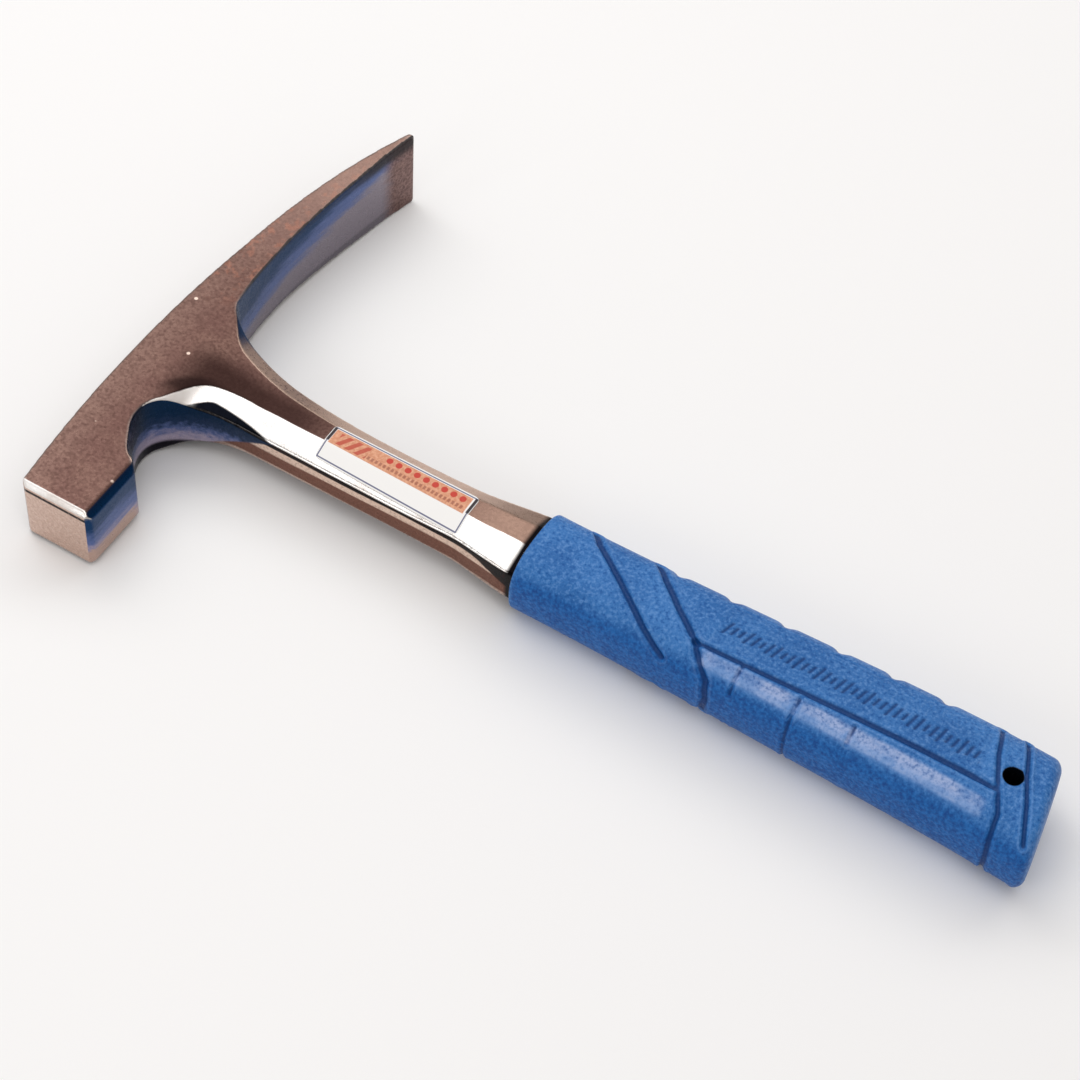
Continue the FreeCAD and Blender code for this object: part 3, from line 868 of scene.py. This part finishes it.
# %% Rust, the blade's cheek and its arris
bloom = steel.step(steel.noise(drawing, 0.3, 3, 0.6), 0.5, 0.64)
rust = steel.product(bloom, steel.step(py, 18, 34), steel.step(py, 104, 84), 0.32)
tan = steel.mix(rust, tan, colour(158, 104, 84))
edge_cheek = steel.product(steel.step(py, 60, 84), steel.step(nz, 0.7, 0.9), 0.35)
tan = steel.mix(edge_cheek, tan, colour(158, 130, 118))
base = steel.mix(inside, tan, blue)
arris = steel.product(steel.step(nx, 0.1, 0.24), steel.step(nz, 0.2, 0.36), steel.step(nz, 0.985, 0.95),
                      steel.step(py, 24, 36))
base = steel.mix(steel.product(arris, 0.92), base, colour(14, 17, 32))

# %% [markdown]
# The bevels that look up towards the poll side are polished, with a painted highlight that makes them almost
# white, and the painted shade of the neck goes over them. Last come wear, grime and painted light: bare metal
# and a painted highlight on ridges, a painted shadow where steel meets rubber, and grime and painted shade in
# the deepest hollows.

# %% Polish, wear, grime and painted light
highlight_white = steel.mix(steel.step(cloud, 0.35, 0.7), colour(252, 250, 248), colour(234, 227, 222))
polish_and_highlight = steel.product(steel.step(ny, -0.12, -0.26), steel.step(nz, 0.3, 0.5), steel.step(py, 14, 6))
# polish with a painted highlight on the bevels that face the poll side
base = steel.mix(polish_and_highlight, base, highlight_white)
base = steel.mix(neck_shade, base, colour(12, 14, 20))
# painted shadow where steel meets rubber, and grime with painted shade in hollows
grime_and_shade = steel.math("MAXIMUM", steel.step(px, 122.6, 124.4), steel.step(stand, -0.24, -0.5, 0, 0.7))
# bare metal and a painted highlight on ridges
base = steel.mix(steel.step(stand, 0.14, 0.34, 0, 0.12), base, colour(235, 224, 216))
base = steel.mix(grime_and_shade, base, colour(12, 10, 12))
steel.set("Base Color", base)
steel.set("Metallic", 1.0)

# %% [markdown]
# Gloss varies with the same masks. Polished bevels are smoother, the arris and the scratches are rougher, and
# three bumps of different sizes keep the flats from looking like a mirror.

# %% Gloss and grain of the steel
scratch = steel.noise(steel.stretched(drawing, 0.25, 6.0, 6.0), 1.0, 2, 0.7)
rough = steel.step(mottle, 0.3, 0.7, 0.24, 0.4)
rough = steel.minus(rough, steel.product(polish_and_highlight, steel.step(px, 10, 24, -0.16, 0.08)))
rough = steel.plus(rough, steel.product(arris, 0.35))
rough = steel.plus(rough, steel.step(scratch, 0.6, 0.8, 0, 0.12))
steel.set("Roughness", rough)
grain = steel.bump(steel.noise(drawing, 2.4, 4, 0.6), 0.05 * MM, 0.3)
grain = steel.bump(scratch, 0.02 * MM, 0.2, grain)
steel.set("Normal", steel.bump(steel.noise(drawing, 0.2, 2), 0.2 * MM, 0.25, grain))
print("steel finish:", len(steel.tree.nodes), "nodes")

# %% [markdown]
# ## The vinyl
# Moulded vinyl is a strong blue with a soft sheen. It isn't even: a fine mottle runs over it, dark specks of
# its own tone and pale specks that are painted highlights of its orange peel, and the sides are painted a
# deeper blue than the upper face, a painted shade.

# %% Mottled blue, painted highlights and painted shade
vinyl = Finish("grip_vinyl")
drawing = vinyl.millimetres()
mottle = vinyl.noise(drawing, 0.95, 4, 0.62)
cloud = vinyl.noise(drawing, 0.07, 2)
base = vinyl.mix(vinyl.step(cloud, 0.3, 0.7), colour(40, 102, 170), colour(54, 116, 184))
# pale specks: painted highlights of the orange peel
base = vinyl.mix(vinyl.step(mottle, 0.48, 0.68, 0, 0.6), base, colour(100, 148, 208))
base = vinyl.mix(vinyl.step(mottle, 0.47, 0.32, 0, 0.75), base, colour(0, 74, 146))
# painted shade: a deeper blue on the sides
deep = vinyl.mix(vinyl.step(mottle, 0.35, 0.65), colour(0, 66, 138), colour(0, 98, 176))
base = vinyl.mix(vinyl.product(vinyl.stored("side"), 0.82), base, deep)

# %% [markdown]
# The pads beside the ridge carry a painted highlight in patches. The carving kept with the mesh tells which
# points are cut, and so get painted shade, and which stand up, and so get a painted highlight. The hang hole
# and the mouth are painted dark, a painted shade.

# %% Painted highlights on pads, painted shade in cuts and openings
carved = vinyl.stored("carve")
# painted highlight patches on the pads
pad_highlight_patches = vinyl.step(vinyl.noise(drawing, 0.12, 3, 0.6), 0.35, 0.6, 0.35, 1.0)
pad_highlight = vinyl.product(vinyl.stored("pads"), pad_highlight_patches, vinyl.step(mottle, 0.3, 0.6, 0.25, 0.8))
base = vinyl.mix(pad_highlight, base, colour(168, 184, 222))
# painted shade in the cuts, painted highlight on the raised lips
base = vinyl.mix(vinyl.step(carved, -0.08, -0.6, 0, 0.9), base, colour(0, 52, 112))
base = vinyl.mix(vinyl.step(carved, 0.1, 0.4, 0, 0.45), base, colour(110, 156, 216))
# painted shade in the hang hole and the mouth
from_hole = vinyl.from_axis(drawing, float(hole_x), 0)
base = vinyl.mix(vinyl.step(from_hole, HOLE_RADIUS + 0.35, HOLE_RADIUS + 0.02), base, colour(2, 6, 14))
mouth = vinyl.step(vinyl.parts(drawing)[0], MOUTH_X + 0.5, MOUTH_X + 0.1)
base = vinyl.mix(mouth, base, colour(4, 14, 34))

# %% [markdown]
# Vinyl shows a fine orange peel, so its gloss is broken by a bump, and pale specks are a little smoother.

# %% Sheen of the vinyl
vinyl.set("Base Color", base)
vinyl.set("Roughness", vinyl.step(mottle, 0.3, 0.7, 0.50, 0.36))
vinyl.set("Normal", vinyl.bump(vinyl.noise(drawing, 0.9, 3, 0.6), 0.6 * MM, 0.55))
vinyl.set("Specular IOR Level", 0.22)
print("vinyl finish:", len(vinyl.tree.nodes), "nodes")

# %% [markdown]
# ## The label's print
# The print is drawn in millimetres along (s) and across (t) the label. It is a white film with a peach panel
# and plain shapes on it: three slanted bars, a row of round red marks and a row of short strokes.

# %% Panel and marks
MARK_PITCH, BAR_PRINT_PITCH, STROKE_PITCH = 3.05, 3.1, 1.35
LABEL_LONG, LABEL_WIDE = LABEL_X[1] - LABEL_X[0], LABEL_Y[0] - LABEL_Y[1]
paper = Finish("label_paper")
uv = paper.node("ShaderNodeUVMap", uv_map="print_mm").outputs[0]
s, t, _ = paper.parts(uv)
stain = paper.noise(uv, 1.1, 3, 0.6)
peach = paper.mix(paper.step(stain, 0.35, 0.65), colour(226, 168, 134), colour(206, 138, 104))
on_panel = paper.product(paper.between(s, 1.2, LABEL_LONG - 1.6), paper.between(t, 1.0, 6.6))
print_colour = paper.mix(on_panel, colour(246, 245, 243), peach)
mark_s = paper.product(paper.minus(paper.phase(s, MARK_PITCH), 0.5), MARK_PITCH)
mark_t = paper.minus(t, 2.6)
round_mark = paper.plus(paper.product(mark_s, mark_s), paper.product(mark_t, mark_t))
marks = paper.product(paper.step(round_mark, 1.25, 0.75), paper.between(s, 18.4, 45.7, 0.1))
print_colour = paper.mix(paper.product(marks, 0.95), print_colour, colour(196, 48, 34))

# %% [markdown]
# The bars lean, so their phase is taken along s plus a part of t. The strokes stand upright in one row.

# %% Bars and short strokes
slant = paper.phase(paper.plus(s, paper.product(t, 0.6)), BAR_PRINT_PITCH)
emblem = paper.product(paper.between(slant, 0.18, 0.72, 0.06), paper.between(s, 3.2, 13.2),
                       paper.between(t, 1.7, 6.0))
print_colour = paper.mix(paper.product(emblem, 0.85), print_colour, colour(186, 66, 46))
fine = paper.product(paper.between(paper.phase(s, STROKE_PITCH), 0.15, 0.75, 0.1),
                     paper.between(t, 4.5, 5.7, 0.15), paper.between(s, 13, 46, 0.1))
print_colour = paper.mix(paper.product(fine, 0.75), print_colour, colour(150, 84, 62))

# %% [markdown]
# A thin blue line runs just inside the label's edge, with a dark bar at each end. The film is half glossy and
# has a faint ripple, so it takes highlights unlike the steel round it.

# %% Rim, ends and gloss of the label
edge_s = paper.math("MINIMUM", s, paper.minus(LABEL_LONG, s))
edge_t = paper.math("MINIMUM", t, paper.minus(LABEL_WIDE, t))
edge_line = paper.between(paper.math("MINIMUM", edge_s, edge_t), 0.4, 0.8, 0.08)
print_colour = paper.mix(paper.product(edge_line, 0.9), print_colour, colour(56, 64, 112))
end_bars = paper.product(paper.between(edge_s, 0.2, 1.1, 0.1), paper.between(t, 0.6, 6.0, 0.2))
print_colour = paper.mix(end_bars, print_colour, colour(40, 30, 36))
paper.set("Base Color", print_colour)
paper.set("Roughness", 0.34)
paper.set("Specular IOR Level", 0.3)
ripple = paper.noise(paper.node("ShaderNodeTexCoord").outputs["Object"], 260, 2)
paper.set("Normal", paper.bump(ripple, 0.05 * MM, 0.3))
print("label finish:", len(paper.tree.nodes), "nodes")

# %% [markdown]
# Each piece gets its own finish in its only slot.

# %% Hand the finishes out
for piece, finish in ((forging, steel), (grip, vinyl), (label, paper)):
    piece.data.materials.clear()
    piece.data.materials.append(finish.material)
print("finishes:", [f.material.name for f in (steel, vinyl, paper)])

# %% [markdown]
# ## Floor, light and camera
# The hammer rests on three points: a corner of the blade, a corner of the poll and the swell of the
# grip. The floor is a plane laid through those three. Which points are lowest depends on the plane's own
# tilt, so they are picked again a few times until they settle.

# %% Floor
HALF_FLOOR, FLOOR_GAP, PICKS = 6.0, 0.00005, 6
lowest_of = [eased[eased[:, 1] > 0.9 * cad_box[1][1]], eased[eased[:, 1] < 0.75 * cad_box[0][1]],
             points[points[:, 0] > 0.5 * cad_box[1][0]]]
tilt = np.zeros(2)
for _ in range(PICKS):
    feet = np.array([g[np.argmin(g[:, 2] - g[:, :2] @ tilt)] for g in lowest_of])
    solved = np.linalg.solve(np.column_stack([feet[:, :2], np.ones(3)]), feet[:, 2])
    tilt = solved[:2]
corners = np.array([[-1, -1], [1, -1], [1, 1], [-1, 1]]) * HALF_FLOOR
floor_points = np.column_stack([corners, corners @ tilt + solved[2] - FLOOR_GAP])
floor = mesh_from("studio_floor", floor_points, [np.arange(4)])
plain = Finish("pale_floor")
plain.set("Base Color", (0.93, 0.93, 0.93, 1))
plain.set("Roughness", 0.9)
floor.data.materials.append(plain.material)
print("floor tilt, degrees:", np.degrees(np.arctan(tilt)).round(2))

# %% [markdown]
# Product studios use large soft boxes, and steel mostly shows what it mirrors. One box hangs overhead for an
# even light, one low in front brightens the walls that face it, and one behind draws the bright edges. A
# weak warm world fills the shadows.

# %% Light
from mathutils import Matrix, Vector
scene = bpy.context.scene
scene.view_settings.view_transform = "Standard"
world = bpy.data.worlds.new("studio")
world.use_nodes = True
world.node_tree.nodes["Background"].inputs["Color"].default_value = (1.0, 0.95, 0.92, 1)
world.node_tree.nodes["Background"].inputs["Strength"].default_value = 0.42
scene.world = world


def softbox(name, direction, distance, size_x, size_y, radiance):
    """Rectangular light looking at the hammer; its power is radiance times pi times area."""
    light = bpy.data.lights.new(name, "AREA")
    light.shape = "RECTANGLE"
    light.size, light.size_y = size_x, size_y
    light.energy = radiance * math.pi * size_x * size_y
    lamp = bpy.data.objects.new(name, light)
    away = Vector(direction).normalized()
    facing = away.to_track_quat("Z", "Y").to_matrix().to_4x4()
    lamp.matrix_world = Matrix.Translation(away * distance) @ facing
    scene.collection.objects.link(lamp)


softbox("overhead", (-0.10, -0.16, 0.95), 1.1, 2.1, 0.5, 1.7)
softbox("front_low", (-0.287, -0.793, 0.535), 1.1, 0.6, 0.35, 2.2)
softbox("back", (-0.287, 0.60, 0.76), 1.1, 2.4, 0.6, 1.4)

# %% [markdown]
# The camera looks down on the poll and the grip with a long lens, which keeps near and far parts in
# proportion. Its axes are worked out from three angles: round the object, down on it, and rolled about the
# line of sight.

# %% Camera
AIM = np.array([-0.0158, -0.0176, 0.0166])
AZIMUTH, ELEVATION, ROLL = map(math.radians, (28.18, 52.56, 4.07))
DISTANCE = 0.837
forward = np.array([-math.sin(AZIMUTH) * math.cos(ELEVATION), math.cos(AZIMUTH) * math.cos(ELEVATION),
                    -math.sin(ELEVATION)])
level = np.array([math.cos(AZIMUTH), math.sin(AZIMUTH), 0.0])
upright = np.cross(level, forward)
right = math.cos(ROLL) * level + math.sin(ROLL) * upright
up = math.cos(ROLL) * upright - math.sin(ROLL) * level
camera_data = bpy.data.cameras.new("camera")
camera_data.lens, camera_data.sensor_width = 100.0, 36.0
camera_data.clip_start = 0.01
camera = bpy.data.objects.new("camera", camera_data)
turned = np.eye(4)
turned[:3, :3] = np.column_stack([right, up, -forward])
turned[:3, 3] = AIM - DISTANCE * forward
camera.matrix_world = Matrix(turned.tolist())
scene.collection.objects.link(camera)
scene.camera = camera
print("camera at, metres:", turned[:3, 3].round(4))

# %% [markdown]
# ## Last look
# The visible pieces should fill the same box as the design. Here the scene is only brought up to date.

# %% Bring the scene up to date
bpy.context.view_layer.update()
